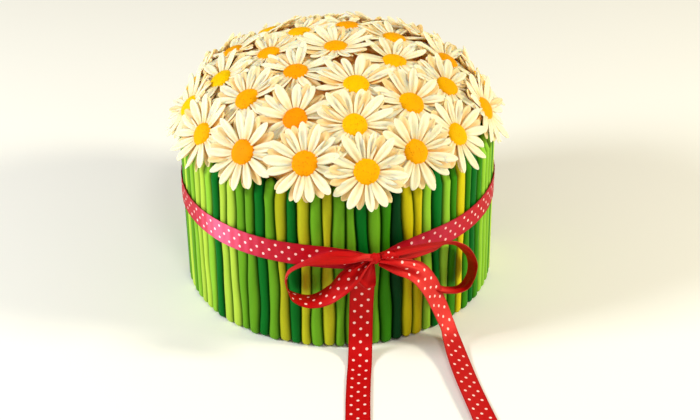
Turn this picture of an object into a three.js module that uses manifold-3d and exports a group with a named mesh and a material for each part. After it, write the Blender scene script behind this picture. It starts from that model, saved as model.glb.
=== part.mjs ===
// A round domed cake dressed as a tied bunch of daisies, in millimetres, +Z up.
// The origin is the middle of the flat underside and the bow faces -Y. Azimuths are in degrees
// from the front (-Y), positive towards +X.

import * as THREE from 'three';
import { mergeVertices } from 'three/addons/utils/BufferGeometryUtils.js';
import Module from 'manifold-3d';

const wasm = await Module();
wasm.setup();

// ---------------------------------------------------------------- driving dimensions

const GAP = 0.3;                    // clearance between pieces that touch

const CAKE_RADIUS = 102.3;
const CAKE_SHOULDER = 118;          // height where the side turns into the dome

const STEM_COUNT = 88;
const STEMS_PER_BUNDLE = 11;
const STEM_TOP = 118.5;             // at the crown; from there the tops slope up under the petals
const STEM_TOP_SLOPE = 0.75;
const STEM_CROWN = 110;             // outer face of the stems, from the axis
const STEM_GROOVE = 106.5;          // bottom of the grooves between them
const STEM_BACK = 102.8;
const STEM_SWAY = 0.55;             // how far a stem wanders sideways, degrees
const STEM_LEVELS = [[0, 1.6], [2.6, 0], [STEM_TOP, 0]]; // [height, how far the rounded end draws in]

// The tops of the daisies' centres lie on a dome: (r / radius)^power + (height / rise)^2 = 1.
const BED_BASE = 100;
const BED_RISE = 76;
const BED_RADIUS = 118;
const BED_POWER = 2.5;
const CAKE_DEPTH = 13;              // icing dome below that surface, measured along the normal
const CORE_DEPTHS = [9.2, 11.3];    // top and underside of the slabs that the daisies grow from

// The daisies stand in three rings, from the top down; the crown's last one is at its very top.
// Each daisy is an azimuth and a distance from the axis, in order round the ring.
const RINGS = [
  { name: 'crown', groups: 1, core: [0, 62], coreSteps: 10,
    daisies: [[15, 51], [66, 43.5], [117, 46], [168, 43], [-141, 40], [-89, 46], [-40, 42], [0, 0.001]] },
  { name: 'middle', groups: 3, core: [63, 92.5], coreSteps: 7,
    daisies: [
      [8, 83.5], [40, 77.5], [68, 81.5], [95, 78.5], [125, 81], [155, 79],
      [-172, 80], [-141, 77.5], [-111, 79], [-80, 81], [-51, 77.5], [-20, 80.5],
    ] },
  { name: 'rim', groups: 4, core: [93.5, 110.4], coreSteps: 6,
    daisies: [
      [10, 107.5], [30, 103.5], [51, 104], [78, 106], [101, 105], [124, 107], [146, 104.5], [169, 106],
      [-169, 104], [-146, 106.5], [-124, 105], [-103, 106], [-82, 104.5], [-60, 106], [-37, 104.5], [-12, 104],
    ] },
];

const PETALS = 13;                  // in each of the two layers
const PETAL_TIP = 24.8;             // from the middle of the daisy
const PETAL_TIP_WIDTH = 2.8;
const PETAL_WIDEST = 17.6;
const PETAL_WIDTH = 7;
const PETAL_ROOT = 9;
const PETAL_RIDGE = 1.35;
const PETAL_RIDGE_AT = 15;
const UNDER_TIP = 22.4;             // second layer, seen between the petals of the first
const UNDER_NOTCH = 16;
const UNDER_DROP = 1.5;
const PETAL_DROOP = 300;            // radius that the petals bend down on
const LEAN_OUT = 0.1;               // each daisy leans like a roof tile: outer edge up ...
const LEAN_SIDE = 0.09;             // ... and left edge up
const DISC_RADIUS = 8.6;
const DISC_HEIGHT = 3.3;
const DISC_SIDES = 10;
const STALK_DEPTH = 6.6;            // each daisy tapers down to a point that is sunk in its slab

const RIBBON_WIDTH = 16;
const RIBBON_THICK = 0.6;
const BAND_RADIUS = 111.1;          // middle of the ribbon round the stems
const BAND_HEIGHT = 74.5;
const KNOT_AZIMUTH = 12;

// ---------------------------------------------------------------- colours and finishes

function finish(color, roughness) {
  return new THREE.MeshStandardMaterial({ color, roughness, metalness: 0, flatShading: true });
}

const PETAL_WHITE = finish('#f3ead6', 0.75);
const DISC_YELLOW = finish('#f2a51c', 0.8);
const ICING = finish('#ece0c6', 0.8);
const SATIN_RED = finish('#c3141d', 0.4);
const STEM_GREENS = ['#4f9429', '#8fb535', '#2c7a2c', '#6ea52f'].map((color) => finish(color, 0.6));

// ---------------------------------------------------------------- helpers

const rad = THREE.MathUtils.degToRad;
const around = (azimuth, r, z) => new THREE.Vector3(r * Math.sin(rad(azimuth)), -r * Math.cos(rad(azimuth)), z);

// A repeatable number from 0 to 1 for any whole number.
const chance = (n) => {
  const s = Math.sin(n * 127.1 + 11.7) * 43758.5453;
  return s - Math.floor(s);
};

function meshFrom(points, triangles) {
  const geometry = new THREE.BufferGeometry();
  const numbers = points.flatMap((p) => [p.x, p.y, p.z]);
  geometry.setAttribute('position', new THREE.Float32BufferAttribute(numbers, 3));
  geometry.setIndex(triangles.flat());
  return geometry;
}

function solidOf(geometry) {
  const bare = new THREE.BufferGeometry();
  bare.setAttribute('position', geometry.attributes.position);
  if (geometry.index) bare.setIndex(geometry.index);
  const merged = mergeVertices(bare, 1e-4);
  return new wasm.Manifold(new wasm.Mesh({
    numProp: 3,
    vertProperties: new Float32Array(merged.attributes.position.array),
    triVerts: new Uint32Array(merged.index.array),
  }));
}

function geometryOf(solid) {
  const { vertProperties, triVerts } = solid.getMesh();
  const geometry = new THREE.BufferGeometry();
  geometry.setAttribute('position', new THREE.BufferAttribute(vertProperties, 3));
  geometry.setIndex(new THREE.BufferAttribute(triVerts, 1));
  return geometry;
}

const join = (solids) => solids.reduce((all, next) => all.add(next));

// The body that is left when cutting has set small scraps loose.
const largest = (solid) => solid.decompose().sort((a, b) => b.volume() - a.volume())[0];

function piece(name, geometry, material) {
  const mesh = new THREE.Mesh(geometry, material);
  geometry.computeVertexNormals();
  mesh.name = name;
  return mesh;
}

// Skins a stack of closed rings that all have the same number of points, with flat ends.
// Ring points run anticlockwise seen from the far end of the stack.
function skin(rings) {
  const n = rings[0].length;
  const triangles = [];
  for (let i = 0; i + 1 < rings.length; i++) {
    for (let j = 0; j < n; j++) {
      const a = i * n + j;
      const b = i * n + (j + 1) % n;
      triangles.push([a, b, b + n], [a, b + n, a + n]);
    }
  }
  return { points: rings.flat(), triangles };
}

// ---------------------------------------------------------------- the dome that the daisies follow

function bedPoint(azimuth, r, depth = 0) {
  const height = BED_RISE * Math.sqrt(1 - (r / BED_RADIUS) ** BED_POWER);
  const slope = new THREE.Vector2(
    (BED_POWER / BED_RADIUS) * (r / BED_RADIUS) ** (BED_POWER - 1),
    (2 * height) / BED_RISE ** 2,
  ).normalize();
  return {
    at: around(azimuth, r - depth * slope.x, BED_BASE + height - depth * slope.y),
    normal: around(azimuth, slope.x, slope.y),
  };
}

// ---------------------------------------------------------------- cake

function cakeBody() {
  const side = [[0, 0], [CAKE_RADIUS, 0], [CAKE_RADIUS, CAKE_SHOULDER]];
  const dome = [108, 98, 85, 70, 52, 30, 0].map((r) => bedPoint(90, r, CAKE_DEPTH).at);
  const profile = [...side, ...dome.map(({ x, z }) => [x, z])].map(([r, z]) => new THREE.Vector2(r, z));
  const geometry = new THREE.LatheGeometry(profile, 36);
  return piece('cake_body', geometry.rotateX(Math.PI / 2), ICING);
}

// ---------------------------------------------------------------- stems

// One run of neighbouring ropes as a scalloped wall: every rope has a groove, a shoulder, a crown and
// another shoulder, and sways a little on its way up.
function stemBundle(index) {
  const pitch = 360 / STEM_COUNT;
  const first = (index - 0.5) * STEMS_PER_BUNDLE;
  const edge = THREE.MathUtils.radToDeg(GAP / 2 / STEM_GROOVE);
  const rings = STEM_LEVELS.map(([z, drawn], level) => {
    const sway = (stem) => (level < 2 ? 0.4 : 1) * STEM_SWAY * (2 * chance(stem * 7 + level * 31) - 1);
    const slope = z === STEM_TOP ? STEM_TOP_SLOPE : 0;
    const place = (azimuth, r) => around(azimuth, r, z + (STEM_CROWN - r) * slope);
    const outer = [];
    const inner = [];
    for (let i = 0; i <= STEMS_PER_BUNDLE; i++) {
      const stem = first + i + 0.5;
      const atEnd = i === 0 ? edge : i === STEMS_PER_BUNDLE ? -edge : 0;
      const wander = atEnd ? atEnd : (sway(stem - 1) + sway(stem)) / 2;
      const groove = (stem - 0.5) * pitch + wander;
      outer.push(place(groove, STEM_GROOVE - drawn / 2));
      inner.unshift(place(groove, STEM_BACK));
      if (i === STEMS_PER_BUNDLE) break;
      for (const [share, radius] of [[-0.3, 0.8], [0, 1], [0.3, 0.8]]) {
        const r = STEM_GROOVE + (STEM_CROWN - STEM_GROOVE) * radius - drawn;
        outer.push(place((stem + share) * pitch + sway(stem) * 0.8, r));
      }
    }
    return [...outer, ...inner];
  });
  const { points, triangles } = skin(rings);
  const n = rings[0].length;
  const flat = rings[0].map((p) => new THREE.Vector2(p.x, p.y));
  for (const [a, b, c] of THREE.ShapeUtils.triangulateShape(flat, [])) {
    triangles.push([a, c, b], [a, b, c].map((k) => k + n * (rings.length - 1)));
  }
  return piece(`stems_${index + 1}`, meshFrom(points, triangles), STEM_GREENS[index % STEM_GREENS.length]);
}

// ---------------------------------------------------------------- daisies

const droop = (r) => -(r * r) / (2 * PETAL_DROOP);

// The two layers of petals as one body. Each petal of the first layer is a blunt blade with a ridge;
// the second layer is a star whose tips show between them.
function petalStar() {
  const points = [];
  const add = (angle, r, z, side = 0) => {
    const c = Math.cos(angle);
    const s = Math.sin(angle);
    points.push(new THREE.Vector3(r * c - side * s, r * s + side * c, z + droop(r)));
    return points.length - 1;
  };
  const step = (2 * Math.PI) / PETALS;
  const top = add(0, 0, 0.25);
  const bottom = add(0, 0, -STALK_DEPTH);
  const ring = Array.from({ length: PETALS }, (_, i) => {
    const axis = i * step;
    const between = axis + step / 2;
    return {
      left: add(axis, PETAL_WIDEST, 0, -PETAL_WIDTH / 2),
      right: add(axis, PETAL_WIDEST, 0, PETAL_WIDTH / 2),
      tipLeft: add(axis, PETAL_TIP, 0, -PETAL_TIP_WIDTH / 2),
      tipRight: add(axis, PETAL_TIP, 0, PETAL_TIP_WIDTH / 2),
      ridge: add(axis, PETAL_RIDGE_AT, PETAL_RIDGE),
      root: add(between, PETAL_ROOT, 0),
      rootBelow: add(between, PETAL_ROOT, -0.8),
      notch: add(axis, UNDER_NOTCH, -UNDER_DROP),
      under: add(between, UNDER_TIP, -UNDER_DROP),
    };
  });
  const triangles = [];
  ring.forEach((p, i) => {
    const next = ring[(i + 1) % PETALS];
    const prev = ring[(i + PETALS - 1) % PETALS];
    const outline = [prev.root, p.left, p.tipLeft, p.tipRight, p.right, p.root];
    outline.forEach((a, k) => triangles.push([a, outline[(k + 1) % 6], p.ridge]));
    triangles.push(
      [top, prev.root, p.root],
      [prev.rootBelow, p.rootBelow, p.right], [prev.rootBelow, p.right, p.left],
      [p.left, p.right, p.tipRight], [p.left, p.tipRight, p.tipLeft],
      [p.root, p.right, p.rootBelow], [p.root, p.rootBelow, next.left],
      [prev.rootBelow, p.notch, p.rootBelow],
      [p.rootBelow, p.notch, p.under], [p.rootBelow, p.under, next.notch],
      [p.notch, next.notch, p.under],
      [bottom, next.notch, p.notch],
    );
  });
  return meshFrom(points, triangles);
}

// A plain umbrella that holds a daisy's petals with a clearance all round, to cut its neighbours with.
function petalClearance() {
  const tip = PETAL_TIP + GAP + 0.2;
  const under = -UNDER_DROP - GAP;
  const profile = [
    [0, -STALK_DEPTH - 2 * GAP], [UNDER_NOTCH + 1, under], [tip - 1.5, under], [tip, -GAP], [tip, GAP],
    [PETAL_RIDGE_AT, PETAL_RIDGE + GAP], [0, PETAL_RIDGE + GAP],
  ];
  return new THREE.LatheGeometry(profile.map(([r, z]) => new THREE.Vector2(r, z + droop(r))), 2 * PETALS)
    .rotateX(Math.PI / 2);
}

// Where a daisy stands: its middle sits `depth` below the dome, turned to face out and leaning.
function daisyPlace(azimuth, r, spin) {
  const { at, normal } = bedPoint(azimuth, r, DISC_HEIGHT + GAP + 0.5);
  const side = around(azimuth + 90, 1, 0);
  const up = new THREE.Vector3().crossVectors(normal, side);
  const facing = normal.clone().addScaledVector(side, LEAN_SIDE).addScaledVector(up, LEAN_OUT).normalize();
  const x = side.clone().addScaledVector(facing, -side.dot(facing)).normalize();
  const y = new THREE.Vector3().crossVectors(facing, x);
  return new THREE.Matrix4().makeBasis(x, y, facing).setPosition(at)
    .multiply(new THREE.Matrix4().makeRotationZ(spin));
}

// The slabs that the daisies grow from follow the dome. The crown's is a cap, skinned from the middle of
// its underside, round its edge, to the middle of its top.
function capSlab({ core: [, outer], coreSteps }, grow) {
  const [over, under] = [CORE_DEPTHS[0] - grow, CORE_DEPTHS[1] + grow];
  const radii = [outer * 0.25, outer * 0.6, outer + grow];
  const corners = [...radii.map((r) => [r, under]), ...radii.map((r) => [r, over]).reverse()];
  const { points, triangles } = skin(corners.map(([r, depth]) => (
    Array.from({ length: coreSteps }, (_, i) => bedPoint((360 * i) / coreSteps, r, depth).at))));
  const lastRing = points.length - coreSteps;
  const bottom = points.push(bedPoint(0, 0, under).at) - 1;
  const top = points.push(bedPoint(0, 0, over).at) - 1;
  for (let i = 0; i < coreSteps; i++) {
    const j = (i + 1) % coreSteps;
    triangles.push([bottom, j, i], [top, lastRing + i, lastRing + j]);
  }
  return meshFrom(points, triangles);
}

// The other slabs are arcs between two azimuths, with six corners in section.
function arcSlab({ core: [inner, outer], coreSteps }, from, to, grow) {
  const radii = [inner - grow, (inner + outer) / 2, outer + grow];
  const spread = THREE.MathUtils.radToDeg((grow - GAP) / inner);
  const rings = Array.from({ length: coreSteps + 1 }, (_, i) => {
    const azimuth = from - spread + ((to - from + 2 * spread) * i) / coreSteps;
    const over = radii.map((r) => bedPoint(azimuth, r, CORE_DEPTHS[0] - grow).at);
    const under = radii.map((r) => bedPoint(azimuth, r, CORE_DEPTHS[1] + grow).at).reverse();
    return [...over, ...under];
  });
  const { points, triangles } = skin(rings);
  const lastRing = points.length - 6;
  for (const [a, b, c] of [[0, 4, 5], [0, 1, 4], [1, 3, 4], [1, 2, 3]]) {
    triangles.push([a, c, b], [a, b, c].map((k) => k + lastRing));
  }
  return meshFrom(points, triangles);
}

// A ring's daisies as places, in groups of neighbours.
function groupsOf(ring) {
  const size = ring.daisies.length / ring.groups;
  return Array.from({ length: ring.groups }, (_, g) => {
    const daisies = ring.daisies.slice(g * size, (g + 1) * size);
    const places = daisies.map(([azimuth, r]) => daisyPlace(azimuth, r, 2 * Math.PI * chance(azimuth + r)));
    const from = daisies[0][0] - 180 / ring.daisies.length;
    const name = ring.groups > 1 ? `${ring.name}_${g + 1}` : ring.name;
    return { name, ring, places, from, to: from + 360 / ring.groups };
  });
}

function petalGroup({ ring, places, from, to }, daisy, grow) {
  const slab = ring.groups > 1 ? arcSlab(ring, from, to, grow) : capSlab(ring, grow);
  return join([solidOf(slab), ...places.map((place) => solidOf(daisy().applyMatrix4(place)))]);
}

// The yellow centre: a low dome that sits on the petals' roots.
function discGeometry(place, grow = 0) {
  const r = DISC_RADIUS + grow;
  const profile = [
    [0, 0.25 + GAP - grow], [r, 0.25 + GAP - grow],
    [r * 0.7, DISC_HEIGHT - 0.5 + grow], [0, DISC_HEIGHT + 0.5 + grow],
  ];
  const geometry = new THREE.LatheGeometry(profile.map(([x, y]) => new THREE.Vector2(x, y)), DISC_SIDES);
  return geometry.rotateX(Math.PI / 2).applyMatrix4(place);
}

function daisies() {
  const group = new THREE.Group();
  const groups = RINGS.flatMap(groupsOf);
  const discs = groups.flatMap(({ name, places }) => (
    places.map((place, i) => ({ name: `centre_${name}_${i + 1}`, place }))));
  const discClearance = join(discs.map(({ place }) => solidOf(discGeometry(place, GAP))));
  let taken = discClearance;
  for (const g of groups) {
    const petals = largest(petalGroup(g, petalStar, 0).subtract(taken));
    taken = taken.add(petalGroup(g, petalClearance, GAP));
    group.add(piece(`petals_${g.name}`, geometryOf(petals), PETAL_WHITE));
  }
  for (const { name, place } of discs) group.add(piece(name, discGeometry(place), DISC_YELLOW));
  return group;
}

// ---------------------------------------------------------------- ribbon

// The band round the stems, a closed ring.
function ribbonBand() {
  const half = RIBBON_WIDTH / 2;
  const corners = [[-1, -1], [1, -1], [1, 1], [-1, 1], [-1, -1]];
  const profile = corners.map(([a, b]) => (
    new THREE.Vector2(BAND_RADIUS + (a * RIBBON_THICK) / 2, BAND_HEIGHT + b * half)));
  return piece('ribbon_band', new THREE.LatheGeometry(profile, STEM_COUNT / 2).rotateX(Math.PI / 2), SATIN_RED);
}

// A strip of ribbon along hand-placed stations: azimuth, distance from the axis, height, then the
// direction of its width as x, y, z, then its width there.
function ribbonStrip(name, stations, steps) {
  const middles = stations.map(([azimuth, r, z]) => around(azimuth, r, z));
  const along = new THREE.CatmullRomCurve3(middles, false, 'catmullrom', 0.5);
  const widths = stations.map(([, , , x, y, z, width]) => new THREE.Vector3(x, y, z).setLength(width / 2));
  const across = new THREE.CatmullRomCurve3(widths, false, 'catmullrom', 0.5);
  const rings = [];
  for (let i = 0; i <= steps; i++) {
    const t = i / steps;
    const tangent = along.getTangent(t);
    const raw = across.getPoint(t);
    const wide = raw.clone().addScaledVector(tangent, -raw.dot(tangent)).setLength(raw.length());
    const thick = new THREE.Vector3().crossVectors(tangent, wide).setLength(RIBBON_THICK / 2);
    rings.push([[1, 1], [-1, 1], [-1, -1], [1, -1]].map(([u, v]) => (
      along.getPoint(t).addScaledVector(wide, u).addScaledVector(thick, v))));
  }
  const { points, triangles } = skin(rings);
  const last = points.length - 4;
  triangles.push([0, 2, 1], [0, 3, 2], [last, last + 1, last + 2], [last, last + 2, last + 3]);
  return piece(name, meshFrom(points, triangles), SATIN_RED);
}

const LOOP_LEFT = [
  [8.6, 115.5, 77, 0, -0.8, 0.6, 4], [3.2, 118, 77.9, 0, -1, 0.25, 13],
  [-3.5, 120, 77.2, -0.1, -1, 0.05, 16], [-10.5, 121, 71.5, -0.05, -1, 0.05, 16],
  [-15.4, 121, 64, 0.1, -1, 0.2, 16], [-16.4, 121, 55.6, 0.15, -1, 0.2, 16],
  [-14.5, 121, 47.5, 0.1, -1, 0.1, 16], [-9.5, 121, 44, 0, -1, 0, 16],
  [-3.5, 120.5, 47.5, 0.1, -0.95, -0.25, 16], [2.8, 118.5, 58.5, 0.45, -0.6, -0.6, 13],
  [8, 116, 69, 0.6, -0.35, -0.5, 4],
];
const LOOP_RIGHT = [
  [14.6, 116, 76, 0, -0.5, 0.8, 4], [21, 118, 76.5, 0.15, -0.85, 0.5, 12],
  [31, 120, 76.5, 0.2, -0.9, 0.4, 16], [38, 120.5, 73, 0.25, -0.88, 0.38, 16],
  [44.5, 120.5, 63.5, 0.28, -0.88, 0.34, 16], [49.3, 120.5, 49, 0.28, -0.88, 0.34, 16],
  [48.6, 120.5, 36, 0.28, -0.88, 0.34, 16], [43, 120, 31.5, 0.25, -0.9, 0.36, 15],
  [36, 117, 36, 0.2, -0.9, 0.36, 11], [27, 114.5, 49, 0.2, -0.88, 0.4, 6],
  [15.5, 114.5, 68, 0.1, -0.85, 0.5, 4],
];
const TAIL_LEFT = [
  [11, 113.5, 68.5, 0.9, 0.2, -0.15, 5], [8.5, 113.5, 60, 1, 0.1, -0.1, 14],
  [7, 112.8, 50, 1, 0, 0, 16], [6.7, 112.4, 35, 1, 0, 0, 16],
  [6.5, 112.8, 18, 1, 0, 0, 16], [6.2, 117.5, 6.5, 1, 0, 0, 16],
  [5.4, 130, 1, 1, 0, 0, 16], [4.3, 148, 0.6, 1, 0, 0, 16],
  [3.6, 168, 0.6, 1, 0, 0, 16], [3, 196, 0.6, 1, 0, 0, 16],
];
const TAIL_RIGHT = [
  [14.5, 117.5, 71, 0.3, -0.4, 0.9, 4], [19.7, 121.5, 67, 0.5, -0.4, 0.7, 10],
  [25, 123, 58.5, 0.75, -0.35, 0.35, 15], [29.2, 122.5, 46, 0.85, -0.2, -0.05, 16],
  [33, 122, 31, 0.87, 0, -0.4, 16], [35.2, 125, 16, 0.86, 0.1, -0.45, 16],
  [34.6, 133, 7.5, 0.86, 0.1, -0.42, 16], [31.6, 151, 4.2, 0.9, 0.12, -0.38, 16],
  [28.6, 175, 3.5, 0.92, 0.15, -0.3, 16], [26, 206, 3, 0.95, 0.15, -0.25, 16],
];

// The knot: a small rounded lump on the band.
function ribbonKnot() {
  const geometry = new THREE.SphereGeometry(1, 10, 6).scale(4.4, 3.2, 4.6);
  geometry.rotateZ(rad(KNOT_AZIMUTH)).translate(...around(KNOT_AZIMUTH, BAND_RADIUS + 4, BAND_HEIGHT - 1.5));
  return piece('ribbon_knot', geometry, SATIN_RED);
}

// ---------------------------------------------------------------- assembly

const stems = new THREE.Group();
for (let i = 0; i < STEM_COUNT / STEMS_PER_BUNDLE; i++) stems.add(stemBundle(i));

const ribbon = new THREE.Group();
ribbon.add(
  ribbonBand(), ribbonKnot(),
  ribbonStrip('ribbon_loop_left', LOOP_LEFT, 20), ribbonStrip('ribbon_loop_right', LOOP_RIGHT, 22),
  ribbonStrip('ribbon_tail_left', TAIL_LEFT, 18), ribbonStrip('ribbon_tail_right', TAIL_RIGHT, 20),
);

const bouquetCake = new THREE.Group();
bouquetCake.add(cakeBody(), stems, daisies(), ribbon);

export default bouquetCake;
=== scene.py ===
"""A round domed cake dressed as a tied bunch of daisies: rolled stems round the side, daisies over the
dome, and a dotted satin ribbon tied in a bow.

Metres, +Z up, with the origin in the middle of the flat underside. Azimuths are in degrees from the
front (-Y), positive towards +X.
"""
import math

import bpy
import numpy as np
from mathutils import Matrix


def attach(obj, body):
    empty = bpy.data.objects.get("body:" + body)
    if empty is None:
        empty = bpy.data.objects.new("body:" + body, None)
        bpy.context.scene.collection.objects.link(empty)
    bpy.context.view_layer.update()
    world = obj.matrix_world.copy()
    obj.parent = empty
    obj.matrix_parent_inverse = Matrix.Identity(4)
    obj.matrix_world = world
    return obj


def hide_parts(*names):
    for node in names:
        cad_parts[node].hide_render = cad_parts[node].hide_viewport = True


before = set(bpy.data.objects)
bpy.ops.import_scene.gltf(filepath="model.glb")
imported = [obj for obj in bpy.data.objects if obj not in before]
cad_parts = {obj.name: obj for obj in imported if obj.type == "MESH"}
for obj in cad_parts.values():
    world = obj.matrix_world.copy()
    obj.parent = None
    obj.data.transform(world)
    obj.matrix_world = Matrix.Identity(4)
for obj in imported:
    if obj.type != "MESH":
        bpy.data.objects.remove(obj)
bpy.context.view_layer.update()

MM = 0.001

# ---- driving dimensions

CAKE_RADIUS = 102.3 * MM
CAKE_SHOULDER = 118 * MM            # height where the side turns into the dome
CAKE_DEPTH = 13 * MM                # the cake's dome below the daisies' dome
DOME_COAT = 3.5 * MM                    # thickness of the icing's coat on the dome

STEM_COUNT = 88
STEMS_PER_BUNDLE = 11
BUNDLES = STEM_COUNT // STEMS_PER_BUNDLE
STEM_TOP = 124 * MM                 # hidden under the daisies
STEM_CROWN = 110 * MM               # outer face of the stems, from the axis
STEM_HALF_DEPTH = 3.75 * MM
STEM_CORNERS = 14                   # points round a stem
STEM_SQUARENESS = 0.92              # power of its section's cosine and sine, where 1 is an ellipse
STEM_SPREAD = 1.02                  # its width over the room between its grooves
STEM_END = 3.2 * MM                 # length over which an end closes
STEM_LEAN = 4 * MM                  # how far its hidden top leans in
STEM_SWAY = (0.38, 0.24, 0.14)      # how far a groove wanders sideways, in degrees, slow to quick
STEM_WAVES = (0.17, 0.075, 0.041)   # lengths of those waves, in metres

BED_BASE = 100 * MM                 # the dome: (r / radius)^power + (height / rise)^2 = 1
BED_RISE = 76 * MM
BED_RADIUS = 118 * MM
BED_POWER = 2.5

# The daisies lie in three rings, from the top down. Each ring has a name, the number of groups that it
# is made in, and its daisies: azimuth, distance from the axis in millimetres, and the tone of the centre
# from orange, 0, to lemon, 1. The tones are partly the centres' own and partly painted light: the centres
# on the brightly lit left side are lemon.
RINGS = (
    ("crown", 1, (
        (15, 51, 0.8), (66, 43.5, 0.65), (117, 46, 0.5), (168, 43, 0.35), (-141, 40, 0.7), (-89, 46, 0.45),
        (-40, 42, 0.3), (0, 0.001, 0.45),
    )),
    ("middle", 3, (
        (8, 83.5, 0.75), (40, 77.5, 0.55), (68, 81.5, 0.6), (95, 78.5, 0.4), (125, 81, 0.7), (155, 79, 0.3),
        (-172, 80, 0.55), (-141, 77.5, 0.8), (-111, 79, 0.4), (-80, 81, 0.95), (-51, 77.5, 0.45),
        (-20, 80.5, 0.15),
    )),
    ("rim", 4, (
        (10, 107.5, 0.55), (30, 103.5, 0.5), (51, 104, 0.7), (78, 106, 0.45),
        (101, 105, 0.6), (124, 107, 0.35), (146, 104.5, 0.75), (169, 106, 0.5),
        (-169, 104, 0.3), (-146, 106.5, 0.65), (-124, 105, 0.45), (-103, 106, 0.6),
        (-82, 104.5, 1.0), (-60, 106, 0.6), (-37, 104.5, 0.25), (-12, 104, 0.3),
    )),
)

PETALS = 13                         # in each of the two layers
PETAL_ROOT = 5.6 * MM               # hidden under the centre
PETAL_TIP = 27.2 * MM
UNDER_TIP = 25.6 * MM               # of the lower layer
PETAL_HALF_WIDTH = 3.55 * MM
PETAL_WIDEST = 0.62                 # share of the way from root to tip where a petal is widest
PETAL_THICK = 2.5 * MM
PETAL_GROOVE = 1.9 * MM             # pressed into the upper side with a modelling tool
PETAL_DROOP = 300 * MM              # radius that free petals bend down on ...
PRESSED_DROOP = 95 * MM             # ... and the dome's, for those that another daisy lies on
PETAL_SECTION = np.array([          # across and up, as shares of the half width and half thickness
    (1, 0.05), (0.76, 0.8), (0.34, 0.98), (0, 1), (-0.34, 0.98), (-0.76, 0.8), (-1, 0.05), (0, -0.75),
])
NEIGHBOURS = 54 * MM                # daisies closer than this touch
TUCKED = 17 * MM                    # how near its middle the petals under a daisy end
BEND_POWER = 1.35                   # a raised petal's middle line rises as this power of the way along it
MOST_LIFT = 6.9 * MM
CLEAR = 0.1 * MM                    # between a petal and the one that it lies on
DISC_RADIUS = 8.6 * MM
DISC_HEIGHT = 3.3 * MM
DISC_GAP = 0.3 * MM                 # between a centre and the petals under it

RIBBON_WIDTH = 16 * MM
RIBBON_THICK = 0.36 * MM
BAND_RADIUS = 111.1 * MM
BAND_HEIGHT = 74.5 * MM
KNOT_AZIMUTH = 12
RIBBON_COLUMNS = 17                 # points across the ribbon
PLEATS = 1.7                        # half waves on each side of the middle where the ribbon is drawn in
DOT_PITCH = 9.3                     # along the ribbon, in millimetres
DOT_ROW = 4.4                       # between the three rows
DOT_RADIUS = 0.95

# Along each strip of ribbon: azimuth, distance from the axis and height in millimetres, then the
# direction of its width as x, y, z, then its width there in millimetres.
LOOP_LEFT = (
    (10.6, 115.5, 74.6, 0, -0.8, 0.6, 3.5), (7, 117, 76.4, 0, -0.9, 0.4, 8),
    (3.2, 118.2, 77.6, 0, -1, 0.1, 14), (-3.5, 120, 78.2, -0.1, -1, 0.05, 16),
    (-10.5, 121, 74.8, -0.05, -0.95, 0.3, 16), (-15.4, 121, 66.5, 0.03, -0.9, 0.42, 16),
    (-16.7, 121, 57, 0.1, -0.92, 0.36, 16), (-15.2, 121, 48.8, 0.1, -1, 0.15, 16),
    (-9.5, 121, 45.6, 0, -1, 0, 16), (-3.2, 120.5, 51, 0.1, -0.95, -0.25, 16),
    (2.6, 118.5, 61.5, 0.45, -0.6, -0.6, 14), (7.6, 116, 69.6, 0.6, -0.35, -0.5, 7),
    (10.2, 114.8, 72.6, 0.6, -0.35, -0.5, 3.5),
)
LOOP_RIGHT = (
    (13.6, 116, 75, 0.1, -0.3, 0.9, 4), (20.6, 118, 75.4, 0.15, -0.35, 0.9, 12),
    (31, 120, 75.4, 0.2, -0.6, 0.75, 14), (37.6, 120.5, 73, 0.25, -0.75, 0.62, 16),
    (43.6, 120.5, 64, 0.26, -0.82, 0.5, 16), (47.9, 120.5, 49.5, 0.24, -0.88, 0.42, 16),
    (47.5, 120.5, 37, 0.25, -0.89, 0.37, 16), (43, 120, 32, 0.25, -0.9, 0.36, 15),
    (36, 117, 36, 0.2, -0.9, 0.36, 11), (27, 114.5, 49, 0.2, -0.88, 0.4, 6),
    (15.5, 114.5, 68, 0.1, -0.85, 0.5, 4),
)
TAIL_LEFT = (
    (10.6, 114, 72.4, 0.9, 0.2, -0.15, 4), (9.3, 114, 66, 0.95, 0.1, -0.15, 10),
    (8.3, 113.6, 58.5, 1, 0.1, -0.05, 15), (7.5, 112.8, 50, 1, 0, 0, 16),
    (7.1, 112.4, 35, 1, 0, 0, 16), (6.8, 112.8, 18, 1, 0, 0, 16),
    (6.3, 117.5, 6.5, 1, 0, 0, 16), (5.4, 130, 1, 1, 0, 0, 16),
    (4.3, 148, 0.6, 1, 0, 0, 16), (3.5, 168, 0.6, 1, 0, 0, 16), (2.8, 196, 0.6, 1, 0, 0, 16),
)
TAIL_RIGHT = (
    (13, 116.5, 72.4, 0.3, -0.3, 0.9, 5), (18.6, 120.5, 68.4, 0.4, 0, 0.9, 12),
    (24.8, 121.5, 60.4, 0.55, 0.6, 0.35, 15), (29.2, 121.5, 47, 0.6, 0.68, 0.1, 16),
    (32.4, 121.5, 31, 0.58, 0.7, -0.16, 16), (34.4, 125, 16, 0.62, 0.64, -0.34, 16),
    (33.9, 133, 7.4, 0.74, 0.42, -0.4, 16), (31, 151, 3.5, 0.84, 0.26, -0.3, 16),
    (28, 175, 2.4, 0.88, 0.2, -0.2, 16), (24.9, 214, 1.7, 0.9, 0.18, -0.12, 16),
)

CAMERA_PLACE = (0, -0.9628, 0.6150)
CAMERA_TURN = (0.49, 30.69, -0.80)  # right, down and about its own axis, in degrees
CAMERA_LENS = 79.67                 # in millimetres, for a sensor 36 wide

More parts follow.
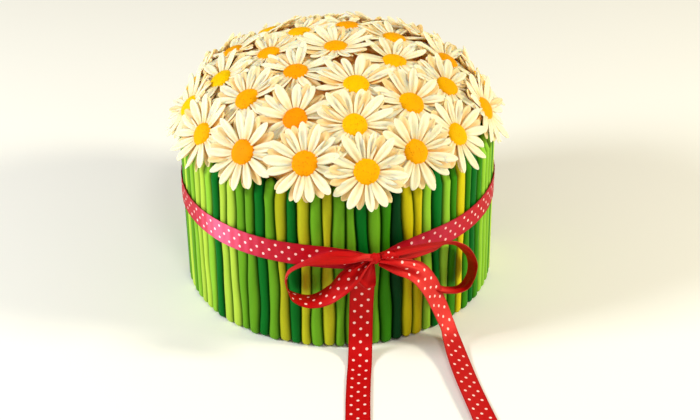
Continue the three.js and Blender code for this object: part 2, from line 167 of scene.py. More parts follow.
# Each light: name, place, side of its square in metres, watts and colour.
SOFT_LIGHTS = (
    ("light_left", (-1.4, -0.4, 0.95), 0.45, 22, (0.98, 1.0, 1.0)),
    ("light_right", (1.35, -0.35, 0.95), 0.3, 18, (1.0, 0.93, 0.72)),
    ("light_front", (0.25, -1.1, 1.4), 0.3, 5, (1.0, 0.97, 0.9)),
)
SHEEN_LIGHTS = (
    ("sheen_left", (-1.4, -0.12, 0.3), 0.45, 56, (1.0, 0.84, 0.9)),
    ("sheen_right", (1.3, -0.2, 0.24), 0.5, 34, (1.0, 0.72, 0.5)),
)
LIGHTS_AIM = (0, 0, 0.09)           # the middle of the cake


# ---- colours

def paint(code):
    """A colour as on a paint chart, #rrggbb, as linear red, green, blue and alpha."""
    shares = [int(code[i:i + 2], 16) / 255 for i in (1, 3, 5)]
    return tuple(((c + 0.055) / 1.055) ** 2.4 if c > 0.04045 else c / 12.92 for c in shares) + (1.0,)


DYES = {
    "yellow": paint("#d0c40e"), "lime": paint("#b8da48"), "olive": paint("#b0b21c"),
    "bright": paint("#8ec634"), "leaf": paint("#66a31e"), "grass": paint("#36860a"),
    # The last is the bottle dye darkened as painted shadow, for a stem in the shadow of the bow.
    "bottle": paint("#016c1e"), "pine": paint("#003c16"),
}
# From the left edge of the front view to its right edge; the darkest is the bottle dye as painted shadow
# below the bow.
FRONT_DYES = (
    "leaf bright lime lime bright bottle lime lime leaf leaf bottle leaf olive bottle olive leaf olive "
    "leaf leaf bottle leaf grass pine yellow yellow bright bottle bright grass yellow grass bottle "
    "grass bright bright bright"
).split()
FRONT_DYES_FROM = -17               # the number of the first of them; stem 0 is the one at the front
BACK_DYES = "lime leaf bottle bright grass olive yellow leaf lime bottle".split()


# ---- numbers

def around(azimuth, r, z):
    """Points at azimuths in degrees, distances r from the axis and heights z, as rows of x, y, z."""
    turn = np.radians(azimuth)
    return np.stack(np.broadcast_arrays(r * np.sin(turn), -r * np.cos(turn), z), -1).astype(float)


def rise(x, low, high):
    """A smooth step: 0 below low, 1 above high, and 3t^2 - 2t^3 between them."""
    t = np.clip((x - low) / (high - low), 0, 1)
    return t * t * (3 - 2 * t)


def bump_at(x, middle, spread):
    """A bell curve of height 1."""
    return np.exp(-((x - middle) / spread) ** 2)


def chance(n):
    """A repeatable number from 0 to 1 for any whole number, the same as in the part's source."""
    s = math.sin(n * 127.1 + 11.7) * 43758.5453
    return s - math.floor(s)


def unit(v):
    """Rows of vectors at length 1."""
    return v / np.maximum(np.linalg.norm(v, axis=-1, keepdims=True), 1e-12)


def curve_through(rows, count):
    """Catmull-Rom spline through rows of numbers at even steps, its ends carried straight on:
    half of 2b + (c - a) t + (2a - 5b + 4c - d) t^2 + (3b - a - 3c + d) t^3 between rows b and c."""
    rows = np.asarray(rows, float)
    rows = np.vstack([2 * rows[0] - rows[1], rows, 2 * rows[-1] - rows[-2]])
    place = np.linspace(0, len(rows) - 3, count)
    i = np.minimum(place.astype(int), len(rows) - 4)
    t = (place - i)[:, None]
    a, b, c, d = rows[i], rows[i + 1], rows[i + 2], rows[i + 3]
    slope, bend, twist = c - a, 2 * a - 5 * b + 4 * c - d, 3 * b - a - 3 * c + d
    return 0.5 * (2 * b + slope * t + bend * t ** 2 + twist * t ** 3)


def bed_point(azimuth, r, depth):
    """A point of the dome that the daisies follow, sunk by depth along the dome's normal, and that
    normal. It solves the dome's formula for the height; the normal is the formula's gradient."""
    share = r / BED_RADIUS
    height = BED_RISE * math.sqrt(1 - share ** BED_POWER)
    out, up = BED_POWER / BED_RADIUS * share ** (BED_POWER - 1), 2 * height / BED_RISE ** 2
    long = math.hypot(out, up)
    out, up = out / long, up / long
    return around(azimuth, r - depth * out, BED_BASE + height - depth * up), around(azimuth, out, up)


# ---- meshes

def make_piece(name, points, quads, triangles, finishes, slot, nodes, which=None, **drawn):
    """One object of points and faces that rides on the cake. `which` gives the number of each face's
    finish, and `drawn` holds one number or one vector for each point, for the finishes to read."""
    mesh = bpy.data.meshes.new(name)
    faces = np.asarray(quads).tolist() + np.asarray(triangles).tolist()
    mesh.from_pydata(points.reshape(-1, 3).tolist(), [], faces)
    for finish in finishes:
        mesh.materials.append(finish.material)
    if which is not None:
        mesh.polygons.foreach_set("material_index", np.asarray(which, np.int32))
    for label, values in drawn.items():
        values = np.asarray(values, np.float32)
        vector = values.ndim > 1 and values.shape[-1] == 3
        kept = mesh.attributes.new(label, "FLOAT_VECTOR" if vector else "FLOAT", "POINT")
        kept.data.foreach_set("vector" if vector else "value", values.ravel())
    mesh.shade_smooth()
    piece = bpy.data.objects.new(name, mesh)
    bpy.context.scene.collection.objects.link(piece)
    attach(piece, "root")
    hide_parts(*nodes)
    return piece


def ring_quads(n, m):
    """Quads between n rings of m corners each, numbered ring by ring."""
    i, j = np.meshgrid(np.arange(n - 1) * m, np.arange(m), indexing="ij")
    on = (j + 1) % m
    return np.stack([i + j, i + on, i + on + m, i + j + m], -1).reshape(-1, 4)


def closed_tubes(rings, starts, ends):
    """Points, quads and triangles of tubes that each end in a point. rings is [tube, ring, corner, xyz],
    with the corners anticlockwise seen from the tube's end."""
    tubes, n, m, _ = rings.shape
    points = np.concatenate([rings.reshape(tubes, n * m, 3), starts[:, None], ends[:, None]], axis=1)
    j = np.arange(m)
    on, last = (j + 1) % m, (n - 1) * m
    first_fan = np.stack([np.full(m, n * m), on, j], -1)
    last_fan = np.stack([np.full(m, n * m + 1), last + j, last + on], -1)
    offsets = (np.arange(tubes) * (n * m + 2))[:, None, None]
    quads = (ring_quads(n, m) + offsets).reshape(-1, 4)
    triangles = (np.concatenate([first_fan, last_fan]) + offsets).reshape(-1, 3)
    return points, quads, triangles


def joined(parts):
    """Several sets of points, quads and triangles as one, their corners numbered on from set to set."""
    points = [corners.reshape(-1, 3) for corners, _, _ in parts]
    before = np.cumsum([0] + [len(corners) for corners in points])
    quads = [faces + count for (_, faces, _), count in zip(parts, before)]
    triangles = [faces + count for (_, _, faces), count in zip(parts, before)]
    return np.concatenate(points), np.concatenate(quads), np.concatenate(triangles)


def with_ends(values, start, end):
    """Values drawn on closed tubes [tube, ring, corner], with those of the tubes' end points added."""
    tubes = len(values)
    flat = values.reshape(tubes, -1)
    return np.concatenate([flat, np.full((tubes, 1), start), np.full((tubes, 1), end)], axis=1)


# ---- finishes

class Value:
    """A number, colour or vector that a finish works out. Arithmetic on a number adds Math nodes, which
    are `reflected` where a plain number comes first."""

    def __init__(self, finish, socket):
        self.finish = finish
        self.socket = socket

    def math(self, operation, *others):
        return self.finish.node("ShaderNodeMath", {"operation": operation}, [self, *others])

    def reflected(self, operation, first):
        return self.finish.node("ShaderNodeMath", {"operation": operation}, [first, self])

    def __add__(self, other):
        return self.math("ADD", other)

    def __sub__(self, other):
        return self.math("SUBTRACT", other)

    def __mul__(self, other):
        return self.math("MULTIPLY", other)

    def __truediv__(self, other):
        return self.math("DIVIDE", other)

    def __radd__(self, other):
        return self.reflected("ADD", other)

    def __rsub__(self, other):
        return self.reflected("SUBTRACT", other)

    def __rmul__(self, other):
        return self.reflected("MULTIPLY", other)

    def between(self, low, high):
        """0 below low, 1 above high, smooth between them."""
        settings = {"interpolation_type": "SMOOTHSTEP"}
        inputs = {"Value": self, "From Min": low, "From Max": high, "To Min": 0.0, "To Max": 1.0}
        return self.finish.node("ShaderNodeMapRange", settings, inputs)


class Finish:
    """One material: a Principled shader, what is even all over it, and the nodes that vary it."""

    def __init__(self, name, even):
        self.material = bpy.data.materials.new(name)
        self.material.use_nodes = True
        self.tree = self.material.node_tree
        self.shader = self.tree.nodes["Principled BSDF"]
        for socket, value in even.items():
            self.shader.inputs[socket].default_value = value

    def node(self, kind, settings, inputs, output=0):
        """Adds one node: its settings first, then the values or links of its sockets."""
        made = self.tree.nodes.new(kind)
        for setting, value in settings.items():
            setattr(made, setting, value)
        for socket, value in (inputs.items() if isinstance(inputs, dict) else enumerate(inputs)):
            self.feed(made.inputs[socket], value)
        return Value(self, made.outputs[output])

    def feed(self, socket, value):
        """Links a value to a socket, or sets the socket to a plain number, colour or vector."""
        if isinstance(value, Value):
            self.tree.links.new(value.socket, socket)
        else:
            socket.default_value = value

    def drawn(self, label, output="Fac"):
        """A number, vector or colour that is kept with the mesh's points."""
        return self.node("ShaderNodeAttribute", {"attribute_name": label}, {}, output)

    def noise(self, size, detail=2.0, vector=None, stretch=(1, 1, 1)):
        """Cloudy noise from 0 to 1, its clouds about size across, in metres or the vector's unit."""
        if vector is None:
            where = self.node("ShaderNodeTexCoord", {}, {}, "Object")
            vector = self.node("ShaderNodeMapping", {}, {"Vector": where, "Scale": stretch})
        inputs = {"Vector": vector, "Scale": 1 / size, "Detail": detail}
        return self.node("ShaderNodeTexNoise", {}, inputs)

    def blend(self, share, first, second):
        """A colour from first to second by share."""
        return self.node("ShaderNodeMix", {"data_type": "RGBA"}, {0: share, 6: first, 7: second}, 2)

    def tinted(self, colour, tint):
        """A colour with each channel times the tint's."""
        return self.node("ShaderNodeVectorMath", {"operation": "MULTIPLY"}, [colour, tint])

    def relief(self, height, depth, strength):
        """Leans the surface as if height, from 0 to 1, raised it by depth metres."""
        inputs = {"Strength": strength, "Distance": depth, "Height": height}
        self.feed(self.shader.inputs["Normal"], self.node("ShaderNodeBump", {}, inputs))


def petal_finish():
    """Dry white sugar paste, faintly ribbed: cream, with warm painted shade at the root, in the groove and
    on the lower layer.
    """
    f = Finish("petal_paste", {
        "Roughness": 0.7, "Specular IOR Level": 0.2, "Subsurface Weight": 0.5,
        "Subsurface Radius": (1.0, 0.6, 0.32), "Subsurface Scale": 3 * MM,
    })
    along, across = f.drawn("along"), f.drawn("across")
    under, tone = f.drawn("under"), f.drawn("tone")
    clouds = f.noise(5 * MM)
    grain = f.noise(0.5 * MM, 4.0)
    root = 1 - along.between(0.02, 0.6)
    groove = (1 - across.math("ABSOLUTE").between(0.05, 0.6)) * (1 - along.between(0.6, 0.95))
    # Painted shade: warmer towards the root, along the groove and on the lower layer; the tone and clouds
    # are the paste's own random warmth.
    painted_shade_and_tone = root * 0.4 + groove * 0.18 + under * 0.46 + tone * 0.1 + (clouds - 0.5) * 0.3
    # f6b55c is the warm colour of the painted shade.
    colour = f.blend(painted_shade_and_tone.between(0.0, 1.0), paint("#fff5d0"), paint("#f6b55c"))
    f.feed(f.shader.inputs["Base Color"], colour)
    ribs = ((across * 11.0 + clouds * 3.0).math("SINE") * 0.5 + 0.5) * along.between(0.1, 0.4)
    f.relief(ribs * 0.3 + grain * 0.4, 0.28 * MM, 0.6)
    return f


def centre_finish():
    """Golden sugar paste, grainy and pricked all over; each centre has its own tone, partly painted light:
    those on the left, where the light is strongest, are lemon. The pricks are painted darker as shade in
    their holes. The mesh keeps the place on the centre, in millimetres, as `on_disc`. About half of the
    cells of a
    Voronoi pattern there are pricked: each cell's own colour, turned grey, is its lot."""
    f = Finish("centre_paste", {
        "Roughness": 0.62, "Specular IOR Level": 0.06, "Subsurface Weight": 0.15,
        "Subsurface Radius": (1.0, 0.45, 0.1), "Subsurface Scale": 1.5 * MM,
    })
    spot, tone = f.drawn("on_disc", "Vector"), f.drawn("tone")
    cells = {"Vector": spot, "Scale": 1 / 1.5, "Randomness": 0.85}
    near = f.node("ShaderNodeTexVoronoi", {"feature": "F1"}, cells, "Distance")
    lot = f.node("ShaderNodeTexVoronoi", {"feature": "F1"}, cells, "Color").math("SUBTRACT", 0.0)
    prick_and_shade = (1 - near.between(0.12, 0.3)) * lot.between(0.42, 0.5)
    grain = f.noise(0.7, 3.0, spot)
    clouds = f.noise(6.0, 1.0, spot)
    # The tone is partly each centre's own colour and partly painted light, lemon on the lit left side.
    colour = f.blend(tone * 0.85 + clouds * 0.15, paint("#f47c00"), paint("#f6ce00"))
    colour = f.blend(grain.between(0.4, 0.8) * 0.25, colour, paint("#ee8400"))
    # Painted shade: the pricks are darker, #b86404, as shade in their holes.
    colour = f.blend(prick_and_shade * 0.45, colour, paint("#b86404"))
    f.feed(f.shader.inputs["Base Color"], colour)
    f.relief(grain * 0.5 - prick_and_shade * 0.9, 0.45 * MM, 0.8)
    return f


def stem_finish():
    """Dyed sugar paste rolled by hand: its dye is mottled, it has soft lumps and fine pits, and its grooves
    get painted shade.
    """
    f = Finish("stem_paste", {
        "Specular IOR Level": 0.06, "Subsurface Weight": 0.05,
        "Subsurface Radius": (0.5, 1.0, 0.25), "Subsurface Scale": 1.5 * MM,
    })
    dye, proud = f.drawn("dye", "Vector"), f.drawn("proud")
    lumps = f.noise(9 * MM, 2.0, stretch=(1, 1, 0.35))
    pits = f.noise(1.1 * MM, 3.0)
    depth = lumps.between(0.3, 0.75) * 0.3
    darker = f.tinted(dye, (0.62, 0.74, 0.5))
    paler = f.tinted(dye, (1.12, 1.06, 1.1))
    colour = f.blend(pits.between(0.35, 0.65) * 0.25, f.blend(depth, dye, darker), paler)
    # Painted shade: the dye turns dark in the grooves where the stems meet, away from their proud faces.
    deep = f.tinted(dye, (0.1, 0.22, 0.12))
    colour = f.blend((1 - proud.between(0.35, 0.95)) * 0.9, colour, deep)
    f.feed(f.shader.inputs["Base Color"], colour)
    f.feed(f.shader.inputs["Roughness"], 0.4 + pits * 0.16)
    f.relief(lumps * 0.6 + pits * 0.25, 0.6 * MM, 0.5)
    return f


def icing_finish():
    """The icing where the dome and the underside show, painted warm orange as shade for the gaps between
    the daisies, mottled and crumbly.
    """
    f = Finish("icing", {
        "Roughness": 0.75, "Specular IOR Level": 0.3, "Subsurface Weight": 0.5,
        "Subsurface Radius": (1.0, 0.5, 0.2), "Subsurface Scale": 5 * MM,
    })
    crumbs = f.noise(2.2 * MM, 5.0)
    clouds = f.noise(20 * MM)
    # Painted shade: these oranges stand for the warm shade deep between the daisies.
    colour = f.blend(crumbs.between(0.4, 0.7), paint("#ffc06a"), paint("#fba548"))
    f.feed(f.shader.inputs["Base Color"], f.blend(clouds * 0.4, colour, paint("#ffc880")))
    f.relief(crumbs, 0.8 * MM, 0.8)
    return f


def satin_finish(name, dotted, drawn_tight=False):
    """Red satin: streaks of thread along it and a woven edge. Where it is drawn tight round the stems, its
    threads all lie one way and spread the gloss across the ribbon. The printed face has three staggered
    rows of white dots. The mesh keeps the place on the flat ribbon, in millimetres, as `weft`, and how
    much of the print shows, from 0 to 1, as `printed`."""
    tight = {
        "Roughness": 0.58, "Anisotropic": 0.9, "Anisotropic Rotation": 0.25,
        "Specular Tint": paint("#ff7eb4"),
    }
    loose = {"Roughness": 0.62, "Specular Tint": paint("#ff5a54")}
    f = Finish(name, {"IOR": 1.5, "Specular IOR Level": 1.0, **(tight if drawn_tight else loose)})
    weft, printed = f.drawn("weft", "Vector"), f.drawn("printed")
    s = f.node("ShaderNodeSeparateXYZ", {}, [weft], "X")
    v = f.node("ShaderNodeSeparateXYZ", {}, [weft], "Y")
    threads = f.node("ShaderNodeMapping", {}, {"Vector": weft, "Scale": (0.12, 4.0, 1.0)})
    streak = f.noise(1.0, 3.0, threads)
    edge = v.math("ABSOLUTE").between(7.0, 7.5)
    colour = f.blend(streak.between(0.3, 0.7), paint("#c4050b"), paint("#ac0308"))
    colour = f.blend(edge * 0.5, colour, paint("#880309"))
    height = streak * 0.35 + edge * 0.5
    if dotted:
        row = (v / DOT_ROW).math("ROUND")
        shift = 0.5 - row * row * 0.5
        down = ((s / DOT_PITCH + shift).math("FRACT") - 0.5) * DOT_PITCH
        side = v - row * DOT_ROW
        away = (down * down + side * side).math("SQRT")
        inner = 1 - row.math("ABSOLUTE").between(1.2, 1.6)
        dot = (1 - away.between(DOT_RADIUS - 0.12, DOT_RADIUS + 0.12)) * inner * printed
        colour = f.blend(dot * 0.94, colour, paint("#ffe2dc"))
        height = height + dot * 0.25
    f.feed(f.shader.inputs["Base Color"], colour)
    f.relief(height, 0.08 * MM, 0.5)
    return f


PETAL_PASTE = petal_finish()
CENTRE_PASTE = centre_finish()
STEM_PASTE = stem_finish()
ICING = icing_finish()
SATIN_DOTTED = satin_finish("ribbon_satin_dotted", True)
SATIN_PLAIN = satin_finish("ribbon_satin_plain", False)
SATIN_TIGHT = satin_finish("ribbon_satin_tight", True, True)


# ---- cake

def make_cake():
    """The iced cake: a profile turned about the axis. The profile runs out along the flat underside,
    round its edge, up the side and over the coat of icing on the dome."""
    edge = 3 * MM
    turn = np.linspace(0, math.pi / 2, 5)
    corner = np.stack([CAKE_RADIUS - edge + edge * np.sin(turn), edge - edge * np.cos(turn)], -1)
    flat = np.stack([np.linspace(12, 90, 5) * MM, np.zeros(5)], -1)
    side = [[CAKE_RADIUS, z * MM] for z in (30, 60, 90)] + [[CAKE_RADIUS, CAKE_SHOULDER]]
    dome = [bed_point(90, r * MM, CAKE_DEPTH - DOME_COAT)[0][[0, 2]] for r in np.linspace(104, 12, 16)]
    profile = np.vstack([flat, corner, side, dome])
    azimuths = np.linspace(0, 360, 96, endpoint=False)
    rings = around(azimuths[None, :], profile[:, :1], profile[:, 1:])[None]
    bottom, top = np.zeros((1, 3)), np.array([[0, 0, BED_BASE + BED_RISE - CAKE_DEPTH + DOME_COAT]])
    make_piece("iced_cake", *closed_tubes(rings, bottom, top), [ICING], "icing", ["cake_body"])


# ---- stems

rng = np.random.default_rng(88)
GROOVE_PHASES = rng.uniform(0, 2 * math.pi, (STEM_COUNT, len(STEM_SWAY)))
HIDDEN_DYES = rng.integers(0, len(BACK_DYES), STEM_COUNT)


def groove_azimuth(groove, z):
    """Azimuth of the groove before each stem at heights z: its even place plus three waves."""
    waves = np.zeros(np.broadcast_shapes(groove.shape, z.shape))
    for i, (sway, length) in enumerate(zip(STEM_SWAY, STEM_WAVES)):
        waves = waves + sway * np.sin(2 * math.pi * z / length + GROOVE_PHASES[groove % STEM_COUNT, i])
    return (groove - 0.5) * 360 / STEM_COUNT + waves


def dye_of(stem):
    """The dye of a stem: those seen from the front in their order, the others drawn by lot."""
    at = (stem - FRONT_DYES_FROM) % STEM_COUNT
    return DYES[FRONT_DYES[at] if at < len(FRONT_DYES) else BACK_DYES[HIDDEN_DYES[stem % STEM_COUNT]]]


def make_stems(bundle):
    """Eleven rolled stems: each is an upright tube between two wandering grooves. Its section is a
    rounded box, |cos|^power by |sin|^power, as wide as the grooves leave it, and its ends close as
    quarter circles. The feet end unevenly, and the tops lean in under the daisies."""
    stems = np.arange(STEMS_PER_BUNDLE) + round((bundle - 0.5) * STEMS_PER_BUNDLE + 0.5)
    own = np.random.default_rng(100 + bundle)
    feet = own.uniform(0, 0.9, len(stems))[:, None] * MM
    share = np.array([0.02, 0.12, 0.32, 0.62, 1.0])
    low = STEM_END * share
    straight = np.linspace(9, 112, 15) * MM
    z = np.concatenate([low, straight, STEM_TOP - low[::-1]])[None, :]
    close = np.concatenate([share, np.ones(len(straight)), share[::-1]])
    close = np.sqrt(1 - (1 - close) ** 2)[None, :]
    left = groove_azimuth(stems[:, None], z)
    right = groove_azimuth(stems[:, None] + 1, z)
    middle, half = (left + right) / 2, np.radians(right - left) / 2 * STEM_SPREAD
    z = z + feet * (1 - rise(z, 0, 12 * MM))
    r = STEM_CROWN - STEM_HALF_DEPTH + own.uniform(-0.35, 0.2, len(stems))[:, None] * MM
    r = r - STEM_LEAN * rise(z, straight[-1], STEM_TOP)
    turn = np.arange(STEM_CORNERS) * 2 * math.pi / STEM_CORNERS
    side = np.sign(np.cos(turn)) * np.abs(np.cos(turn)) ** STEM_SQUARENESS
    inward = np.sign(np.sin(turn)) * np.abs(np.sin(turn)) ** STEM_SQUARENESS
    azimuth = middle[..., None] + np.degrees(half * close)[..., None] * side
    distance = r[..., None] - (STEM_HALF_DEPTH * close)[..., None] * inward
    rings = around(azimuth, distance, z[..., None])
    starts = around(middle[:, 0], r[:, 0], feet[:, 0])
    tops = around(middle[:, -1], r[:, -1], STEM_TOP)
    points, quads, triangles = closed_tubes(rings, starts, tops)
    dyes = np.array([dye_of(int(stem))[:3] for stem in stems])
    tint = own.uniform(0.9, 1.08, (len(stems), 1))
    dye = np.repeat((dyes * tint)[:, None], points.shape[1], axis=1)
    # How proud each point stands, from which the finish paints shade in the grooves.
    proud = with_ends(np.broadcast_to(np.clip(-inward, 0, 1), azimuth.shape), 0.6, 1)
    make_piece(f"rolled_stems_{bundle + 1}", points, quads, triangles, [STEM_PASTE], "stem_paste",
               [f"stems_{bundle + 1}"], dye=dye, proud=proud)


# ---- daisies

class Daisy:
    """One daisy: its place on the dome, and the numbers that shape each of its petals."""

    def __init__(self, ring, group, azimuth, r, tone):
        self.ring, self.group, self.azimuth, self.tone = ring, group, azimuth, tone
        self.at, normal = bed_point(azimuth, r * MM, DISC_HEIGHT + DISC_GAP + 0.5 * MM)
        own = np.random.default_rng(int(1000 + azimuth + 10 * r))
        side = around(azimuth + 90, 1, 0)
        tilt = own.normal(0, 0.035, 2)
        facing = unit(normal + side * tilt[0] + np.cross(normal, side) * tilt[1])
        x = unit(side - facing * side.dot(facing))
        y = np.cross(facing, x)
        spin = 2 * math.pi * chance(azimuth + r)
        self.axes = np.stack([
            math.cos(spin) * x + math.sin(spin) * y, math.cos(spin) * y - math.sin(spin) * x, facing])
        self.disc_radius = DISC_RADIUS * own.uniform(0.96, 1.05)
        n = 2 * PETALS
        self.under = np.repeat([0.0, 1.0], PETALS)
        even = np.concatenate([np.arange(PETALS), np.arange(PETALS) + 0.5])
        self.angle = even * 2 * math.pi / PETALS + own.normal(0, 0.045, n)
        self.reach = np.where(self.under > 0, UNDER_TIP, PETAL_TIP) * own.uniform(0.94, 1.02, n)
        self.half_width = PETAL_HALF_WIDTH * own.uniform(0.84, 1.04, n)
        self.base = np.where(self.under > 0, -1.2, 0.35 + own.uniform(0, 0.5, n)) * MM
        self.droop = np.full(n, PETAL_DROOP)
        self.roll = own.normal(0, 0.2, n)
        self.cup = own.uniform(0.2, 0.9, n) * MM
        self.groove = PETAL_GROOVE * own.uniform(0.55, 1.1, n)
        self.groove_at = own.normal(0, 0.14, n)
        self.side = own.normal(0, 0.9, n) * MM
        self.curl = own.uniform(-1.4, 1.4, n) * MM
        raised = own.uniform(0, 1, n) > 0.82
        under_lift = own.uniform(-0.5, 1.2, n)
        upper_lift = own.uniform(0.4, 3.2, n) + 2.2 * raised
        self.lift = np.where(self.under > 0, under_lift, upper_lift) * MM

    def petals(self, u, across, height):
        """The skin of every petal, as [petal, u, corner, xyz] in the daisy's own frame. u runs from root to
        tip; across and height are the section's corners. The half width swells as a quarter sine up to
        PETAL_WIDEST and then closes as a blunt power curve. The groove is a bell curve across the upper
        side, as deep as the sine of pi u. The edges curl up as the square of the way across. The middle
        line falls off on a circle, rises as a power of u and swings aside as the square of u."""
        u = u[None, :, None]
        each = (slice(None), None, None)
        r = PETAL_ROOT + (self.reach[each] - PETAL_ROOT) * u
        swell = 0.42 + 0.58 * np.sin(math.pi / 2 * np.minimum(u / PETAL_WIDEST, 1)) ** 1.1
        point = (1 - np.clip((u - PETAL_WIDEST) / (1 - PETAL_WIDEST), 0, 1) ** 2.3) ** 0.6
        x = self.half_width[each] * swell * point * across
        z = self.base[each] + PETAL_THICK / 2 * (0.75 + 0.25 * swell) * np.sqrt(1 - u ** 6) * height
        groove = bump_at(across, self.groove_at[each], 0.42) * np.sin(math.pi * u) ** 0.7
        z = z - self.groove[each] * groove * (height > 0)
        z = z + self.cup[each] * across ** 2 * np.sin(math.pi * u ** 0.8) + self.roll[each] * x * u
        z = z - r ** 2 / (2 * self.droop[each])
        z = z + self.lift[each] * u ** BEND_POWER + self.curl[each] * u ** 6
        x = x + self.side[each] * u ** 2
        cos, sin = np.cos(self.angle[each]), np.sin(self.angle[each])
        return np.stack([r * cos - x * sin, r * sin + x * cos, z], -1)

    def disc_top(self, share):
        """Height of the centre at a share of its radius: 1 - share^3 to the power 0.55."""
        return 0.25 * MM + DISC_GAP + (DISC_HEIGHT - 0.2 * MM) * (1 - np.minimum(share, 1) ** 3) ** 0.55

    def to_cake(self, points):
        """Points from the daisy's own frame in the cake's."""
        return self.at + points @ self.axes

    def from_cake(self, points):
        """The other way round."""
        return (points - self.at) @ self.axes.T

    def tuck_under(self, other):
        """Presses down the petals that reach under another daisy, and ends them TUCKED from its middle."""
        x, y, _ = self.from_cake(other.at)
        ahead = x * np.cos(self.angle) + y * np.sin(self.angle)
        room = TUCKED ** 2 - (x ** 2 + y ** 2 - ahead ** 2)
        stop = ahead - np.sqrt(np.maximum(room, 0))
        meets = (room > 0) & (ahead > 0) & (stop < self.reach)
        self.reach = np.where(meets, np.maximum(stop, 12 * MM), self.reach)
        self.droop = np.where(meets, PRESSED_DROOP, self.droop)
        self.lift = np.where(meets, -0.5 * MM, self.lift)
        self.curl = np.where(meets, 0, self.curl)

    def tops(self):
        """Points all over the upper side of the petals and the centre, in the cake's frame."""
        across = np.linspace(-1, 1, 9)
        height = np.interp(across, PETAL_SECTION[6::-1, 0], PETAL_SECTION[6::-1, 1])
        petals = self.petals(np.linspace(0.04, 0.99, 22), across, height).reshape(-1, 3)
        share, turn = np.meshgrid(np.linspace(0.1, 1, 8), np.linspace(0, 2 * math.pi, 40))
        r = share * self.disc_radius
        disc = np.stack([r * np.cos(turn), r * np.sin(turn), self.disc_top(share)], -1).reshape(-1, 3)
        return self.to_cake(np.concatenate([petals, disc]))

    def lie_on(self, below):
        """Raises each petal until it clears the points below it. They are drawn as a map of heights in the
        daisy's own frame, one cell to a millimetre, and the rise is the largest shortfall of any point of
        the petal's underside over u^BEND_POWER."""
        size, reach, empty = 28, 12, -99.0      # half the map's side, how high it reads, an empty cell
        seen = self.from_cake(below) / MM
        seen = seen[(np.abs(seen[:, :2]).max(axis=1) < size) & (np.abs(seen[:, 2]) < reach)]
        spot = (seen[:, :2] + size).astype(int) + 1
        heights = np.full((2 * size + 2, 2 * size + 2), empty)
        for dx, dy in ((0, 0), (-1, 0), (1, 0), (0, -1), (0, 1)):
            np.maximum.at(heights, (spot[:, 0] + dx, spot[:, 1] + dy), seen[:, 2])
        u = np.linspace(0.36, 0.97, 14)
        across = np.linspace(-0.9, 0.9, 7)
        skin = self.petals(u, across, -0.95 * np.sqrt(1 - across ** 2)) / MM
        spot = np.clip((skin[..., :2] + size).astype(int) + 1, 0, 2 * size + 1)
        short = heights[spot[..., 0], spot[..., 1]] * MM + CLEAR - skin[..., 2] * MM
        rise_needed = (short / (u ** BEND_POWER)[None, :, None]).max(axis=(1, 2))
        self.lift = np.minimum(self.lift + np.maximum(rise_needed, 0), MOST_LIFT)


def lay_daisies():
    """All the daisies, laid as they were put on: ring by ring from the top down, and in each ring from the
    back to the front. Each lies on those before it."""
    daisies = []
    for ring, (_, groups, places) in enumerate(RINGS):
        size = len(places) // groups
        daisies += [Daisy(ring, i // size, *place) for i, place in enumerate(places)]
    laid = sorted(daisies, key=lambda daisy: (daisy.ring, -abs(daisy.azimuth)))
    touched = [[other for other in laid[:i] if np.linalg.norm(other.at - daisy.at) < NEIGHBOURS]
               for i, daisy in enumerate(laid)]
    for daisy, others in zip(laid, touched):
        for other in others:
            other.tuck_under(daisy)
    for daisy, others in zip(laid, touched):
        if others:
            daisy.lie_on(np.concatenate([other.tops() for other in others]))
    return daisies


def make_petals(name, nodes, daisies):
    """The petals of a group of neighbouring daisies, in one mesh. Their rings are closer towards the tip,
    where the outline turns."""
    across, height = PETAL_SECTION.T
    parts, drawn = [], {"along": [], "across": [], "under": [], "tone": []}
    layers = (
        (0.0, np.array([0.0, 0.2, 0.4, 0.58, 0.74, 0.87, 0.95, 0.985])),
        (1.0, np.array([0.0, 0.3, 0.58, 0.78, 0.92, 0.98])),
    )
    for daisy in daisies:
        for layer, u in layers:
            own = daisy.under == layer
            rings = daisy.petals(u, across, height)[own]
            tips = daisy.petals(np.array([1.0]), across[3:4], height[3:4])[own][:, 0, 0]
            roots = rings[:, 0].mean(axis=1)
            parts.append(closed_tubes(*(daisy.to_cake(p) for p in (rings, roots, tips))))
            shape, corners = rings.shape[:3], parts[-1][0].shape[:2]
            drawn["along"].append(with_ends(np.broadcast_to(u[None, :, None], shape), 0, 1))
            drawn["across"].append(with_ends(np.broadcast_to(across, shape), 0, 0))
            drawn["under"].append(np.full(corners, layer))
            tone = np.sin(daisy.angle[own] * 40) * 0.5 + 0.5
            drawn["tone"].append(np.broadcast_to(tone[:, None], corners))
    drawn = {label: np.concatenate([v.ravel() for v in values]) for label, values in drawn.items()}
    make_piece(name, *joined(parts), [PETAL_PASTE], "petal_paste", nodes, **drawn)


